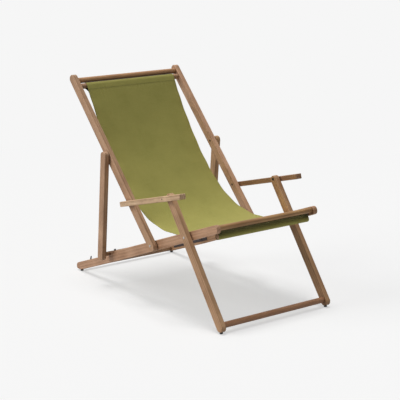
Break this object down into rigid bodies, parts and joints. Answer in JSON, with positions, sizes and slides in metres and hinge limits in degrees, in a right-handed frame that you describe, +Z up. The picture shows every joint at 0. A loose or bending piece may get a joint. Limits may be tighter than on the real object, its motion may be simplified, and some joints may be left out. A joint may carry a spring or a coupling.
{
  "type": "folding lounge chair",
  "caption": "Low wooden folding lounge chair with flat armrests, a rear prop on toothed racks and a sagging canvas sling hung between cross bars.",
  "frame": {"origin": "on the floor, under the middle of the chair's bounding box", "axes": "+Z up, the chair faces -Y, +X to the sitter's left"},
  "size_m": [0.626, 1.0797, 0.8805],
  "materials": {
    "oiled_wood": "oiled, fine grain",
    "canvas": "plain woven canvas",
    "bright_steel": "zinc plated",
    "dark_steel": "blackened",
    "rack_steel": "blackened",
    "washer_nylon": "matt",
    "foot_rubber": "matt"
  },
  "bodies": {
    "base": {"base_rail_left": "oiled_wood", "base_rail_right": "oiled_wood", "front_bar": "oiled_wood", "rear_bar": "oiled_wood", "sling_bar": "oiled_wood", "sling_rod": "oiled_wood", "sling": "canvas", "rack_left": "rack_steel", "rack_right": "rack_steel", "rack_screws": "rack_steel", "rear_foot_left": "foot_rubber", "rear_foot_right": "foot_rubber", "back_pivot_bolts": "bright_steel", "back_pivot_nuts": "dark_steel", "back_pivot_washers": "washer_nylon", "leg_pivot_bolts": "bright_steel", "leg_pivot_nuts": "dark_steel", "leg_pivot_washers": "washer_nylon"},
    "back": {"back_rail_left": "oiled_wood", "back_rail_right": "oiled_wood", "top_bar": "oiled_wood", "sling_top_rod": "oiled_wood", "arm_pivot_bolts": "dark_steel", "arm_pivot_washers": "washer_nylon", "prop_pivot_bolts": "dark_steel", "prop_pivot_washers": "washer_nylon"},
    "legs": {"leg_left": "oiled_wood", "leg_right": "oiled_wood", "leg_cross_bar": "oiled_wood", "front_foot_left": "foot_rubber", "front_foot_right": "foot_rubber"},
    "armrest_left": {"armrest_left": "oiled_wood", "armrest_plug_left": "dark_steel", "armrest_bolt_left": "dark_steel", "armrest_washer_left": "washer_nylon"},
    "armrest_right": {"armrest_right": "oiled_wood", "armrest_plug_right": "dark_steel", "armrest_bolt_right": "dark_steel", "armrest_washer_right": "washer_nylon"},
    "prop": {"prop_leg_left": "oiled_wood", "prop_leg_right": "oiled_wood", "prop_cross_bar": "oiled_wood"}
  },
  "joints": [
    {"name": "back_fold", "type": "hinge", "parent": "base", "child": "back", "pos_m": [0, -0.06809, 0.24825], "axis": [-1, 0, 0], "range_deg": [0, 58], "deforming": ["sling"]},
    {"name": "leg_fold", "type": "hinge", "parent": "base", "child": "legs", "pos_m": [0, -0.29896, 0.3332], "axis": [-1, 0, 0], "range_deg": [0, 64.51]},
    {"name": "armrest_left_fold", "type": "hinge", "parent": "back", "child": "armrest_left", "pos_m": [0, 0.07581, 0.40257], "axis": [1, 0, 0], "range_deg": [0, 53.18]},
    {"name": "armrest_right_fold", "type": "hinge", "parent": "back", "child": "armrest_right", "pos_m": [0, 0.07581, 0.40257], "axis": [1, 0, 0], "range_deg": [0, 53.18]},
    {"name": "prop_fold", "type": "hinge", "parent": "back", "child": "prop", "pos_m": [0, 0.23472, 0.57298], "axis": [1, 0, 0], "range_deg": [0, 132.14]}
  ],
  "couplings": [
    {"joint": "leg_fold", "follows": "back_fold", "ratio": 1.1121},
    {"joint": "armrest_left_fold", "follows": "back_fold", "ratio": 0.91669},
    {"joint": "armrest_right_fold", "follows": "back_fold", "ratio": 0.91669},
    {"joint": "prop_fold", "follows": "back_fold", "ratio": 2.2781}
  ]
}
